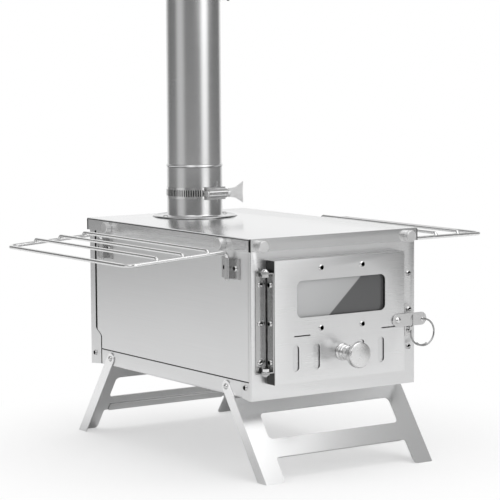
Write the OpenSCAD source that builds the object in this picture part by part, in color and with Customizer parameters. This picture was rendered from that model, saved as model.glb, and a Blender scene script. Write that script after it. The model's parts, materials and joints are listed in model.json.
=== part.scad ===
// Tent wood stove: folded sheet firebox on two folding leg frames, with a hinged window door,
// an air slide, lift-off side racks and a sectional chimney with damper and spark arrestor.
// The door faces -Y and the ground is Z = 0. All lengths are in millimetres.

/* [Firebox] */
// Width of the firebox over its side walls
body_w = 206; // [180:1:240]
// Length of the firebox from front panel to rear panel
body_l = 316; // [290:1:380]
// Height of the firebox from its underside to the cooktop
body_h = 162; // [155:1:200]
// Height of the underside above the ground
ground_gap = 79.3; // [60:0.1:110]
// Thickness of the folded sheet
sheet = 1; // [0.8:0.1:1.4]
// Height of the tray's side flange
tray_flange = 16; // [12:0.5:22]
// Depth of the lid's skirt
lid_skirt = 13; // [10:0.5:16]
// Space between the lid's skirt and the firebox
lid_gap = 1; // [0.6:0.1:1.6]

/* [Door] */
// Width of the front panel beside the door, on the hinge side
hinge_margin = 19.4; // [17:0.1:26]
// Width of the front panel beside the door, on the latch side
latch_margin = 23.3; // [20:0.1:30]
// Height of the door
door_h = 123.8; // [115:0.1:132]
// Distance that the door stands proud of the front panel
door_proud = 13.5; // [11:0.1:18]
// Height of the door's lower edge above the underside
door_sill = 16.2; // [12:0.1:24]
// Width of the window
window_w = 110.2; // [90:0.1:120]
// Height of the window
window_h = 37.1; // [30:0.1:40]
// Height of the window's middle above the door's lower edge
window_mid = 83.6; // [80:0.1:90]
// Radius of the window's corners
window_r = 6; // [3:0.5:12]
// Thickness of the window glass
glass_t = 4; // [3:0.5:5]

/* [Air slide] */
// Length of each air slot
air_slot_l = 26.3; // [18:0.1:30]
// Width of each air slot
air_slot_w = 8; // [5:0.1:9]
// Diameter of the knob's head
knob_d = 26.5; // [18:0.5:32]
// Reach of the knob in front of the door
knob_reach = 31.4; // [25:0.1:45]

/* [Legs] */
// Lean of the legs from upright
leg_lean = 35.6; // [25:0.1:40]
// Distance from each end of the firebox to the leg pivots
leg_inset = 43.5; // [36:0.5:55]
// Height of the leg pivots above the underside
leg_pivot_z = 10; // [8:0.5:13]
// Width of the leg's side flange
leg_flange = 13; // [10:0.5:16]

/* [Side racks] */
// Reach of a rack beyond the side wall
rack_reach = 121.5; // [80:0.5:150]
// Distance from each end of the firebox to a rack's side wire
rack_inset = 34; // [28:0.5:44]
// Diameter of the rack wire
rack_wire = 4; // [3:0.25:5]
// Droop of the left rack from level, the play of its pins in their clips
left_droop = 3.6; // [0:0.1:6]
// Droop of the right rack from level
right_droop = 0; // [0:0.1:6]

/* [Chimney] */
// Outside diameter of the pipe
pipe_d = 60; // [55:0.5:65]
// Length of one pipe section
pipe_l = 293; // [250:1:350]
// Length of the end that slips into the section below
slip_l = 47; // [35:1:60]
// Thickness of the pipe wall
pipe_wall = 0.6; // [0.5:0.05:0.8]
// Distance from the rear panel to the middle of the chimney
flue_inset = 55; // [50:1:70]
// Height of the collar tube above the cooktop
collar_h = 55; // [46:1:64]
// Width of the collar's flange around its tube
collar_rim = 14.9; // [12.5:0.1:19]
// Length of the spark arrestor
arrestor_l = 205; // [180:1:240]

/* [Hidden] */
$fn = 48;

// Overrun of every cut past the faces that it goes through
over = 1;
// Gap between pieces that move past each other
clear = 0.3;
// Radial gap of a pin in its hole
running = 0.05;

// Screws, with domed heads
screw_r = 2;
screw_head_r = 3.2;
screw_head_h = 2.2;
screw_nut_r = 3.6;
screw_nut_h = 2.6;

// Planes of the firebox
wall_x = body_w / 2;
face_y = body_l / 2;
base_z = ground_gap;
top_z = base_z + body_h;
tray_z = base_z + 2 * sheet;
tray_rim_z = tray_z + tray_flange;
skirt_z = top_z - lid_skirt;
panel_top_z = top_z - sheet - clear;

// Side flanges of the end panels
front_lip = 4;
front_tab = 16.4;
rear_lip = 11;
rear_tab = 22;
rear_gap = 2;
rear_step_low = 32;
rear_step_high = 42;
inner_lap = 8;
wall_return = 14;

tab_screw_in = 9.9;
tab_screw_rise = 12.8;
tab_screw_y = face_y - tab_screw_in;
tab_screw_z = base_z + tab_screw_rise;
margin_screw_in = 8.8;

// Lid
lid_x = wall_x + lid_gap + sheet;
lid_y = face_y + lid_gap + sheet;
lid_seam = 1.3;
thumb_in = 10.7;
thumb_x = wall_x - thumb_in;
thumb_y_share = 0.355;
thumb_y = thumb_y_share * body_l;
thumb_drop_share = 0.6;
thumb_z = top_z - thumb_drop_share * lid_skirt;
thumb_r = 6;
thumb_h = 7;

// Door, in the frame of the firebox
door_left = -wall_x + hinge_margin;
door_right = wall_x - latch_margin;
door_w = door_right - door_left;
door_x = (door_left + door_right) / 2;
door_low = base_z + door_sill;
door_high = door_low + door_h;
door_back = -face_y - clear;
door_front = -face_y - door_proud;
door_lap = 9.7;
window_shift = 0.7;
window_x = door_x + window_shift;
window_z = door_low + window_mid;
glass_lap = 4;
retainer_lap = 5;
window_screw_x = 25.7;
window_screw_rise = 30.4;
retainer_edge = 5.5;

// Air slide
slots_shift = 2.9;
slots_x = door_x - slots_shift;
air_shares = [0.17, 0.156];
air_inner = air_shares[0] * door_w;
air_pitch = air_shares[1] * door_w;
air_travel = air_pitch / 2;
air_rise = 24.7;
air_z = door_low + air_rise;
knob_shift = 4;
knob_x = slots_x + knob_shift;
knob_rise = 26.8;
knob_z = door_low + knob_rise;
guide_rise = 46.3;
guide_z = door_low + guide_rise;
guide_l = 19.6;
guide_h = 1.2;
guide_hook = 4;
guide_shares = [-0.277, 0.392];
guide_places = [for (share = guide_shares) slots_x + share * door_w - guide_l / 2];
slide_high = guide_z - sheet - clear;
stud_r = 2.5;
slide_margin = 3.5;
slide_y = door_front + sheet + clear;
stud_l = 2 * sheet + 2 * clear + screw_nut_h;
door_slots = [for (side = [-1, 1], k = [0, 1]) slots_x + side * (air_inner + k * air_pitch)];

// Door hinge
hinge_out = 6.9;
hinge_proud = 7.5;
hinge_low_in = 10.8;
hinge_high_in = 10;
hinge_x = door_left - hinge_out;
hinge_y = -face_y - hinge_proud;
hinge_low = door_low + hinge_low_in;
hinge_high = door_high - hinge_high_in;
hinge_leaf_w = 11.6;
ear_t = 1.2;
hinge_bolt_r = 2;
ear_r = 4.6;
hinge_leaf_back = 7.1;
hinge_screw_back = 2.1;
hinge_leaf_x = hinge_x - hinge_leaf_back;
hinge_screw_x = hinge_x - hinge_screw_back;
hinge_nut_h = 3;
hinge_bolt_l = 2 * ear_t + 2 * clear + hinge_nut_h;
hinge_screw_rises = [22.2, 61, 99.8];

// Latch
latch_t = 1.2;
latch_h = 13.5;
latch_r = latch_h / 2;
rivet_in = 10.2;
rivet_rise = 52.8;
rivet_x = door_right - rivet_in;
rivet_z = door_low + rivet_rise;
rivet_r = 2.5;
latch_end = 37.1;
notch_x = 18.1;
notch_w = 3;
notch_web = 2;
catch_turn = 8;
latch_y = door_front - clear - latch_t;
rivet_l = latch_t + clear + sheet + running;
blade_x = rivet_x + notch_x * cos(catch_turn) - latch_r * sin(catch_turn) / 2;
keeper_t = 1.2;
keeper_w = 10;
keeper_low = -19;
keeper_high = 15;
keeper_corner = 5.6;
keeper_nose_h = 3.4;
keeper_head_w = 4.2;
keeper_screw_x = wall_x - margin_screw_in;
keeper_screw_high = 8.4;
keeper_screw_low = -13.1;
margin_screw_high = 45.8;
margin_screw_low = -30.6;
ring_wire = 1.8;
ring_r = 13.8;
ring_x = 32.3;
ring_z = -0.7;
ring_hole_r = 1.9;
ring_pin_r = 0.8;
ring_front_turn = 130;
ring_back_turn = 210;
ring_lap_turn = 5;

// Rack clips and racks
clip_drop = 42;
clip_z = top_z - clip_drop;
clip_h = 21;
clip_out = 4.6;
clip_wing = 16;
clip_screw_y = 9;
clip_screw_rise = 10.8;
clip_screw_z = clip_z + clip_screw_rise;
clip_tube_wall = 1.1;
clip_tube_r = rack_wire / 2 + clip_tube_wall;
rack_pin_x = wall_x + clip_out;
rack_bend_r = 6;
rack_pin_drop = 1.5;
// The frame's wire is a hair thinner than its bends, so each side wire ends inside a bend
rack_lap = 0.2;
rack_frame_ease = 0.04;
rack_frame_wire = rack_wire - rack_frame_ease;
rack_rise = 26.6;
rack_top_z = clip_z + rack_rise;
rack_half_l = face_y - rack_inset;
rack_corner = 9;
rack_bar_shares = [0.15, 0.42, 0.695];
rack_bar_rise = rack_wire;
rack_bar_corner = rack_wire;
rack_bar_share = 0.88;
rack_bar_wire = rack_bar_share * rack_wire;

// The joggled ends of a side wall start between the two screws of a clip
joggle_y = min(face_y - rear_tab - inner_lap, rack_half_l + clip_screw_y / 2);

// Leg frames, measured from the pivot: down the slope, and out of the plate
leg_pivot_y = face_y - leg_inset;
leg_out = 6.25;
leg_x = wall_x + clear + sheet;
leg_top = 17;
leg_window_top = 36.5;
leg_window_low = 65.9;
leg_bar_low = 86;
leg_side = 23;
leg_corner = 5;
foot_corner = 4;
hem_w = 9;
hem_gap = 0.4;
leg_reach = (ground_gap + leg_pivot_z) / cos(leg_lean) + leg_flange;
foot_z = -(ground_gap + leg_pivot_z + (leg_out - sheet) * sin(leg_lean)) / cos(leg_lean);
pivot_r = 2.5;
pivot_l = leg_x + running - wall_x + 2 * sheet + screw_nut_h;

// Chimney, with six plain sections above the damper
pipe_count = 6;
flue_y = face_y - flue_inset;
pipe_r = pipe_d / 2;
slip_gap = 0.2;
slip_r = pipe_r - pipe_wall - slip_gap;
bead_h = 3;
bead_out = 1.1;
bead_shares = [[0.7, 0.15], [1, 0.5], [0.7, 0.85]];
pipe_step = pipe_l - slip_l;
collar_wall = 0.8;
collar_gap = 0.6;
collar_r = slip_r + collar_gap + collar_wall;
collar_lip = 3;
collar_d = 2 * (collar_r + collar_rim);
collar_screw_r = collar_r + (collar_lip + collar_rim - 2 * sheet) / 2;
collar_seat = 0.2;
flue_z = top_z + collar_h;
cap_lap = 6;
arrestor_hole_r = 4;
arrestor_rows = 6;
arrestor_columns = 12;
arrestor_pitch = 16.5;
arrestor_first = 54.7;
lug_rise = 20.6;
lug_t = 1.5;
lug_r = 9;
lug_hole_r = 5;
lug_out = 10;
lug_plate_w = 16;
lug_plate_h = 18;
lug_count = 4;

// Damper
damper_rise = 186.6;
damper_rod_r = 2;
damper_pin_out = 9;
damper_handle_out = 28;
damper_handle_h = 34;
damper_flap_gap = 1.5;
damper_flap_r = pipe_r - pipe_wall - damper_flap_gap;
damper_flap_t = 1;
washer_t = 1;
damper_nut_r = 3.6;
damper_washer_r = 5;
handle_bend_r = 5;
spring_from = pipe_r + 2 * washer_t;
spring_wire = 1.2;
spring_r = 3.6;
spring_l = 14;
spring_turns = 6;
spring_sides = 6;
spring_rings = 8;

// Hose clamps
clamp_drop = 28;
band_h = 12.5;
band_t = 0.7;
band_slots = 22;
band_slot_w = 1.2;
band_slot_h = 7;
band_slot_pitch = 2.5;
housing_l = 24;
housing_h = 13.8;
housing_d = 9;
housing_x = 5;
worm_r = 3.4;
key_neck = 4;
key_neck_r = 4.5;
key_t = 1.6;
key_l = 19;
key_tip_h = 23.5;
key_shares = [[0, 0.42], [0.3, 0.44], [0.55, 0.55], [0.8, 0.79], [1, 1]];
key_dent_share = 0.96;
slot_start_angle = -106;
slot_angle = band_slot_pitch / pipe_r * 180 / PI;
worm_rise = 4.6;
worm_out = band_t + worm_rise;
housing_foot = 4;

// The origin lies under the middle of the stove's reach, from the knob to the rear feet
leg_foot_y = leg_pivot_y + leg_out / cos(leg_lean) + (ground_gap + leg_pivot_z) * tan(leg_lean);
knob_front = face_y + door_proud + knob_reach;
stove_y = (knob_front - leg_foot_y) / 2;

module placed() translate([0, stove_y, 0]) children();
module steel() color([0.78, 0.79, 0.80]) placed() children();
module bright() color([0.86, 0.87, 0.88]) placed() children();
module dark() color([0.55, 0.56, 0.58]) placed() children();

// A block between two corners
module block(low, high) translate(low) cube(high - low);

// A rod along X, Y or Z that starts at its place
module rod_x(r, l) rotate([0, 90, 0]) cylinder(r = r, h = l);
module rod_y(r, l) rotate([-90, 0, 0]) cylinder(r = r, h = l);

// A rectangle with round corners, drawn about its middle
module round_rect(w, h, r) {
  square([w - 2 * r, h], center = true);
  square([w, h - 2 * r], center = true);
  for (x = [-1, 1], y = [-1, 1]) translate([x * (w / 2 - r), y * (h / 2 - r)]) circle(r);
}

// An outline drawn in X and Z, thickened towards +Y from y
module upright(y, t) translate([0, y + t, 0]) rotate([90, 0, 0]) linear_extrude(t) children();

// An outline drawn in Y and Z, thickened towards +X from x
module sideways(x, t) translate([x, 0, 0]) rotate([90, 0, 90]) linear_extrude(t) children();

// A domed screw head that rises along +Z from its seat
module dome(r = screw_head_r, h = screw_head_h) {
  cap_r = (r * r + h * h) / (2 * h);
  intersection() {
    translate([0, 0, h - cap_r]) sphere(cap_r);
    cylinder(r = r, h = h);
  }
}

// A screw that enters along -Z: head above the seat, shank and nut below it
module screw(grip, r = screw_r) {
  dome();
  translate([0, 0, -grip - screw_nut_h]) cylinder(r = r, h = grip + screw_nut_h);
  translate([0, 0, -grip - screw_nut_h]) cylinder(r = screw_nut_r, h = screw_nut_h, $fn = 6);
}
module screw_front(grip) rotate([90, 0, 0]) screw(grip);
module screw_rear(grip) rotate([-90, 0, 0]) screw(grip);
module screw_side(side, grip) rotate([0, side * 90, 0]) screw(grip);

// Mirrors for pieces that repeat on the left, or at the rear
module to_side(side) mirror([side > 0 ? 0 : 1, 0, 0]) children();
module to_end(end) mirror([0, end > 0 ? 0 : 1, 0]) children();

// Holes through the sheets of a side, an end or the lid
module side_hole(side, y, z, r = screw_r + running) translate([0, y, z]) to_side(side)
  translate([wall_x - 3 * sheet, 0, 0]) rod_x(r, 6 * sheet + over);
module end_hole(end, x, z, r = screw_r + running) translate([x, 0, z]) to_end(end)
  translate([0, face_y - 3 * sheet, 0]) rod_y(r, 6 * sheet + over);

// Places of the screws on an end panel: beside the lid, at the hinge, at the keeper, on the margins
margin_screws = [for (rise = [margin_screw_low, margin_screw_high]) rivet_z + rise];
hinge_screws = [for (rise = hinge_screw_rises) door_low + rise];
keeper_screw_places = [for (rise = [keeper_screw_low, keeper_screw_high]) rivet_z + rise];

module bottom_tray() steel() difference() {
  union() {
    block([-wall_x + sheet, -face_y + sheet, tray_z], [wall_x - sheet, face_y - sheet, tray_z + sheet]);
    for (end = [-1, 1]) to_end(end) block([-wall_x + wall_return + 2 * sheet, face_y - 2 * sheet, tray_z],
      [wall_x - wall_return - 2 * sheet, face_y - sheet, tray_z + tray_flange / 2]);
    for (side = [-1, 1]) to_side(side) tray_side();
  }
  for (side = [-1, 1], end = [-1, 1])
    side_hole(side, end * leg_pivot_y, base_z + leg_pivot_z, pivot_r + running);
  for (side = [-1, 1], end = [-1, 1]) side_hole(side, end * tab_screw_y, tab_screw_z);
}

// The tray's flange, and the tongues behind the tabs of the end panels
module tray_side() {
  front_y = -face_y + front_tab + clear;
  rear_y = face_y - rear_tab - rear_gap;
  block([wall_x - sheet, front_y, tray_z], [wall_x, rear_y, tray_rim_z]);
  block([wall_x - 2 * sheet, -face_y + sheet, tray_z], [wall_x - sheet, front_y + inner_lap, tray_rim_z]);
  block([wall_x - 2 * sheet, rear_y - inner_lap, tray_z], [wall_x - sheet, face_y - sheet, tray_rim_z]);
}

// The curve that parts a side wall from the rear panel's flange, moved forward by a gap
function rear_edge(gap) = [for (k = [0:8]) let (rise = k / 8, bend = (1 - cos(180 * rise)) / 2)
  [face_y - rear_tab + bend * (rear_tab - rear_lip) - gap,
    base_z + rear_step_low + rise * (rear_step_high - rear_step_low)]];

module wall_outline() polygon(concat(
  [[-face_y + front_lip + clear, tray_rim_z + clear],
    [face_y - rear_tab - rear_gap, tray_rim_z + clear]],
  rear_edge(rear_gap),
  [[face_y - rear_lip - rear_gap, panel_top_z], [-face_y + front_lip + clear, panel_top_z]]));

// One side wall: the flush sheet, its joggled edges, and the returns behind the end panels
module side_wall(front_screws) {
  inner_x = wall_x - sheet;
  low_z = tray_rim_z + clear;
  difference() {
    union() {
      sideways(inner_x, sheet) wall_outline();
      block([inner_x - sheet, -face_y + front_tab + inner_lap + 2 * clear, tray_z + sheet],
        [inner_x, face_y - rear_tab - rear_gap - inner_lap - clear, tray_rim_z + inner_lap]);
      for (end = [-1, 1]) to_end(end) {
        block([inner_x - sheet, joggle_y, low_z],
          [inner_x, face_y - sheet, panel_top_z]);
        block([inner_x - wall_return, face_y - 2 * sheet, low_z],
          [inner_x, face_y - sheet, panel_top_z]);
      }
    }
    for (end = [-1, 1]) {
      side_hole(1, end * leg_pivot_y, base_z + leg_pivot_z, pivot_r + running);
      side_hole(1, end * thumb_y, thumb_z);
      end_hole(end, thumb_x, thumb_z);
      for (dy = [-1, 1]) side_hole(1, end * rack_half_l + dy * clip_screw_y, clip_screw_z);
    }
    for (place = front_screws) end_hole(-1, place[0], place[1]);
    for (z = margin_screws) end_hole(1, keeper_screw_x, z);
  }
}
module left_wall() steel() to_side(-1) side_wall([for (z = hinge_screws) [-hinge_screw_x, z]]);
module right_wall() steel()
  side_wall([for (z = concat(margin_screws, keeper_screw_places)) [keeper_screw_x, z]]);

// The side of an end panel: a narrow lip, and a deep tab at the foot
module front_side() sideways(wall_x - sheet, sheet) polygon([
  [-face_y, base_z], [-face_y + front_lip, base_z], [-face_y + front_tab, base_z + 2 * sheet],
  [-face_y + front_tab, tray_rim_z], [-face_y + front_lip, tray_rim_z],
  [-face_y + front_lip, panel_top_z], [-face_y, panel_top_z]]);
module rear_side() sideways(wall_x - sheet, sheet) polygon(concat(
  [[face_y, base_z], [face_y - rear_tab, base_z + 2 * sheet]], rear_edge(0),
  [[face_y - rear_lip, panel_top_z], [face_y, panel_top_z]]));

module front_panel() steel() difference() {
  union() {
    block([-wall_x, -face_y, base_z], [wall_x, -face_y + sheet, panel_top_z]);
    for (side = [-1, 1]) to_side(side) front_side();
  }
  block([door_left + door_lap, -face_y - over, door_low + door_lap],
    [door_right - door_lap, -face_y + sheet + over, door_high - door_lap]);
  for (x = [-thumb_x, thumb_x]) end_hole(-1, x, thumb_z);
  for (z = hinge_screws) end_hole(-1, hinge_screw_x, z);
  for (z = concat(margin_screws, keeper_screw_places)) end_hole(-1, keeper_screw_x, z);
  for (side = [-1, 1]) side_hole(side, -tab_screw_y, tab_screw_z);
}
module rear_panel() steel() difference() {
  union() {
    block([-wall_x, face_y - sheet, base_z], [wall_x, face_y, panel_top_z]);
    for (side = [-1, 1]) to_side(side) rear_side();
  }
  for (x = [-thumb_x, thumb_x]) end_hole(1, x, thumb_z);
  for (x = [-keeper_screw_x, keeper_screw_x], z = margin_screws) end_hole(1, x, z);
  for (side = [-1, 1]) side_hole(side, tab_screw_y, tab_screw_z);
}

module top_plate() steel() difference() {
  union() {
    block([-lid_x, -lid_y, top_z - sheet], [lid_x, lid_y, top_z]);
    for (end = [-1, 1]) to_end(end) block([-lid_x, lid_y - sheet, skirt_z], [lid_x, lid_y, top_z]);
    for (side = [-1, 1]) to_side(side) block([lid_x - sheet, -lid_y + sheet + lid_seam, skirt_z],
      [lid_x, lid_y - sheet - lid_seam, top_z]);
  }
  translate([0, flue_y, top_z - sheet - over]) cylinder(r = slip_r - sheet, h = sheet + 2 * over);
  translate([0, flue_y, top_z - collar_seat]) cylinder(r = collar_d / 2 + clear, h = collar_seat + over);
  for (x = [-1, 1]) translate([x * collar_screw_r, flue_y, top_z - sheet - over])
    cylinder(r = screw_r + running, h = sheet + 2 * over);
  for (side = [-1, 1], end = [-1, 1]) side_hole(side, end * thumb_y, thumb_z);
  for (side = [-1, 1], end = [-1, 1]) end_hole(end, side * thumb_x, thumb_z);
}

// The collar's flange beds in a shallow seat, so that pots meet a plain face in front of it
module flue_collar() bright() translate([0, flue_y, top_z - collar_seat]) difference() {
  rotate_extrude() polygon([
    [collar_r - collar_wall, 0], [collar_d / 2, 0], [collar_d / 2, 2 * sheet],
    [collar_d / 2 - sheet, 2 * sheet], [collar_d / 2 - 2 * sheet, sheet],
    [collar_r + collar_lip, sheet], [collar_r, sheet + collar_lip],
    [collar_r, collar_h + collar_seat], [collar_r - collar_wall, collar_h + collar_seat]]);
  for (x = [-1, 1]) translate([x * collar_screw_r, 0, -over])
    cylinder(r = screw_r + running, h = 2 * sheet + 2 * over);
}
module collar_screws() bright() for (x = [-1, 1])
  translate([x * collar_screw_r, flue_y, top_z + sheet - collar_seat]) screw(2 * sheet - collar_seat);

// A thumb screw: a broad flat head with a turned edge, and a nut behind the sheets
module thumbscrew(grip) {
  rotate_extrude() polygon([[0, 0], [thumb_r - sheet, 0], [thumb_r, sheet], [thumb_r, thumb_h - sheet],
    [thumb_r - sheet, thumb_h], [0, thumb_h]]);
  translate([0, 0, -grip - screw_nut_h]) cylinder(r = screw_r, h = grip + screw_nut_h);
  translate([0, 0, -grip - screw_nut_h]) cylinder(r = screw_nut_r, h = screw_nut_h, $fn = 6);
}
module thumbscrews() bright() {
  for (side = [-1, 1], end = [-1, 1]) translate([side * lid_x, end * thumb_y, thumb_z])
    rotate([0, side * 90, 0]) thumbscrew(2 * sheet + lid_gap);
  for (side = [-1, 1], end = [-1, 1]) translate([side * thumb_x, end * lid_y, thumb_z])
    rotate([-end * 90, 0, 0]) thumbscrew(3 * sheet + lid_gap);
}

module body_screws() bright() {
  for (side = [-1, 1], end = [-1, 1]) translate([side * wall_x, end * tab_screw_y, tab_screw_z])
    screw_side(side, 2 * sheet);
  for (z = margin_screws) {
    translate([keeper_screw_x, -face_y, z]) screw_front(2 * sheet);
    for (side = [-1, 1]) translate([side * keeper_screw_x, face_y, z]) screw_rear(2 * sheet);
  }
}

// Ears of the hinge, drawn about the pivot: a lug that reaches towards its leaf
module hinge_ear(z, turn, reach) translate([hinge_x, hinge_y, z]) rotate(turn) difference() {
  union() {
    cylinder(r = ear_r, h = ear_t);
    block([0, -ear_r, 0], [reach, ear_r, ear_t]);
  }
  translate([0, 0, -over]) cylinder(r = hinge_bolt_r + running, h = ear_t + 2 * over);
}
module hinge_panel_leaf() bright() {
  difference() {
    block([hinge_leaf_x, -face_y - ear_t, hinge_low], [hinge_leaf_x + hinge_leaf_w, -face_y, hinge_high]);
    for (z = hinge_screws) end_hole(-1, hinge_screw_x, z);
  }
  for (z = [hinge_low, hinge_high - ear_t]) hinge_ear(z, 90, -face_y - hinge_y);
}
module hinge_door_leaf() bright() {
  low_z = hinge_low + ear_t + clear;
  high_z = hinge_high - ear_t - clear;
  difference() {
    block([door_left - ear_t, door_front + sheet, low_z], [door_left, door_back - ear_t, high_z]);
    for (z = hinge_screws) translate([door_left - ear_t - over, hinge_y, z])
      rod_x(screw_r + running, ear_t + 2 * over);
  }
  for (z = [low_z, high_z - ear_t]) hinge_ear(z, 0, door_left - hinge_x);
}

// Two short bolts that stand through the ears, head outside and nut inside
module hinge_bolts() bright() for (up = [-1, 1])
  translate([hinge_x, hinge_y, up > 0 ? hinge_high : hinge_low]) mirror([0, 0, up > 0 ? 0 : 1]) {
    dome(ear_r - sheet, screw_head_h + clear);
    translate([0, 0, -hinge_bolt_l]) cylinder(r = hinge_bolt_r, h = hinge_bolt_l);
    translate([0, 0, -hinge_bolt_l]) cylinder(r = screw_nut_r, h = hinge_nut_h, $fn = 6);
  }
module hinge_leaf_screws() bright() for (z = hinge_screws)
  translate([hinge_screw_x, -face_y - ear_t, z]) screw_front(2 * sheet + ear_t);
module door_leaf_screws() bright() for (z = hinge_screws)
  translate([door_left - ear_t, hinge_y, z]) screw_side(-1, sheet + ear_t);

module slot_outline(l, w) {
  square([w, l - w], center = true);
  for (end = [-1, 1]) translate([0, end * (l - w) / 2]) circle(d = w);
}
module knob_slot() translate([knob_x + air_travel / 2, knob_z]) rotate(90)
  slot_outline(air_travel + 2 * (stud_r + clear), 2 * (stud_r + clear));
module window_screw_spots() for (x = [-1, 1], z = [-1, 1])
  translate([window_x + x * window_screw_x, window_z + z * window_screw_rise]) children();

module door() steel() {
  difference() {
    block([door_left, door_front, door_low], [door_right, door_back, door_high]);
    block([door_left + sheet, door_front + sheet, door_low + sheet],
      [door_right - sheet, door_back + over, door_high - sheet]);
    upright(door_front - over, sheet + 2 * over) {
      translate([window_x, window_z]) round_rect(window_w, window_h, window_r);
      for (x = door_slots) translate([x, air_z]) slot_outline(air_slot_l, air_slot_w);
      for (x = guide_places) translate([x, guide_z]) square([guide_l, guide_h]);
      knob_slot();
      window_screw_spots() circle(screw_r + running);
      translate([rivet_x, rivet_z]) circle(rivet_r + running);
    }
    for (z = hinge_screws) translate([door_left - over, hinge_y, z])
      rod_x(screw_r + running, sheet + 2 * over);
  }
  for (x = guide_places) air_guide(x);
}

// A lanced tab that hooks over the upper edge of the air slide
module air_guide(x) {
  hook_y = door_front + 2 * sheet + 2 * clear;
  block([x, door_front + sheet, guide_z - sheet], [x + guide_l, hook_y + sheet, guide_z]);
  block([x, hook_y, guide_z - guide_hook], [x + guide_l, hook_y + sheet, guide_z]);
}

module window_glass() color([0.25, 0.26, 0.27, 0.5]) placed() upright(door_front + sheet, glass_t)
  translate([window_x, window_z]) round_rect(window_w + 2 * glass_lap, window_h + 2 * glass_lap, glass_lap);
module window_retainer() steel() {
  half_w = window_w / 2 + glass_lap + retainer_lap;
  half_h = window_screw_rise + retainer_edge;
  plate_y = door_front + sheet + glass_t;
  upright(plate_y, sheet) translate([window_x, window_z]) difference() {
    square([2 * half_w, 2 * half_h], center = true);
    round_rect(window_w, window_h, window_r);
    for (x = [-1, 1], z = [-1, 1]) translate([x * window_screw_x, z * window_screw_rise])
      circle(screw_r + running);
  }
  for (z = [-half_h, half_h - sheet]) block([window_x - half_w, door_front + sheet, window_z + z],
    [window_x + half_w, plate_y, window_z + z + sheet]);
}
module window_screws() bright() for (x = [-1, 1], z = [-1, 1])
  translate([window_x + x * window_screw_x, door_front, window_z + z * window_screw_rise])
    screw_front(2 * sheet + glass_t);

// The plate behind the air slots: its own slots open them when the knob moves right
module air_slide() steel() {
  left = min(door_slots) - air_travel - air_slot_w / 2 - slide_margin;
  right = max(door_slots) + air_slot_w / 2 + slide_margin;
  upright(slide_y, sheet) difference() {
    translate([left, door_low + sheet + clear])
      square([right - left, slide_high - door_low - sheet - clear]);
    for (x = door_slots) translate([x - air_travel, air_z]) slot_outline(air_slot_l, air_slot_w);
    translate([knob_x, knob_z]) circle(stud_r + running);
  }
}
knob_shares = [[0, 0], [0.33, 0], [0.33, 0.045], [0.28, 0.075], [0.265, 0.13], [0.3, 0.165], [0.3, 0.215],
  [0.265, 0.25], [0.265, 0.305], [0.3, 0.34], [0.3, 0.39], [0.27, 0.43], [0.27, 0.5], [0.3, 0.58],
  [0.36, 0.66], [0.44, 0.73], [0.485, 0.78], [0.5, 0.83], [0.5, 0.93], [0.485, 0.975], [0.45, 1], [0, 1]];
module air_knob() bright() translate([knob_x, door_front - clear, knob_z]) rotate([90, 0, 0]) {
  rotate_extrude() polygon([for (p = knob_shares) [p[0] * knob_d, p[1] * (knob_reach - clear)]]);
  translate([0, 0, -stud_l]) cylinder(r = stud_r, h = stud_l);
  translate([0, 0, -stud_l]) cylinder(r = screw_nut_r + sheet, h = screw_nut_h, $fn = 6);
}

// The latch strap turns on its rivet; its notch drops over the keeper's blade
module latch_strap() bright() translate([rivet_x, 0, rivet_z]) upright(latch_y, latch_t) difference() {
  union() {
    circle(latch_r);
    translate([0, -latch_r]) square([latch_end - latch_r, latch_h]);
    translate([latch_end - latch_r, 0]) circle(latch_r);
  }
  circle(rivet_r + running);
  translate([ring_x, ring_z]) circle(ring_hole_r);
  translate([notch_x - notch_w / 2, -latch_r - over]) square([notch_w, latch_h + over - notch_web]);
}
module latch_rivet() bright() translate([rivet_x, latch_y - running, rivet_z]) rotate([90, 0, 0]) {
  dome(screw_head_r + clear, screw_head_h);
  translate([0, 0, -rivet_l]) cylinder(r = rivet_r, h = rivet_l);
  translate([0, 0, -rivet_l - sheet]) cylinder(r = screw_head_r, h = sheet);
}

// A split ring: one half in front of the strap, one behind it, and a pin through its hole
module ring_arc(from, turn) rotate([90, 0, 0]) rotate(from) rotate_extrude(angle = turn)
  translate([ring_r, 0]) circle(d = ring_wire);
module latch_ring() bright() translate([rivet_x + ring_x, 0, rivet_z + ring_z]) {
  front_y = latch_y - clear - ring_wire / 2;
  back_y = latch_y + latch_t + clear + ring_wire / 2;
  translate([0, front_y, 0]) rod_y(ring_pin_r, back_y - front_y);
  translate([0, front_y, -ring_r]) ring_arc(-ring_front_turn, ring_front_turn + 90 + ring_lap_turn);
  translate([0, back_y, -ring_r]) ring_arc(90 - ring_lap_turn, ring_back_turn + ring_lap_turn);
}

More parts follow.
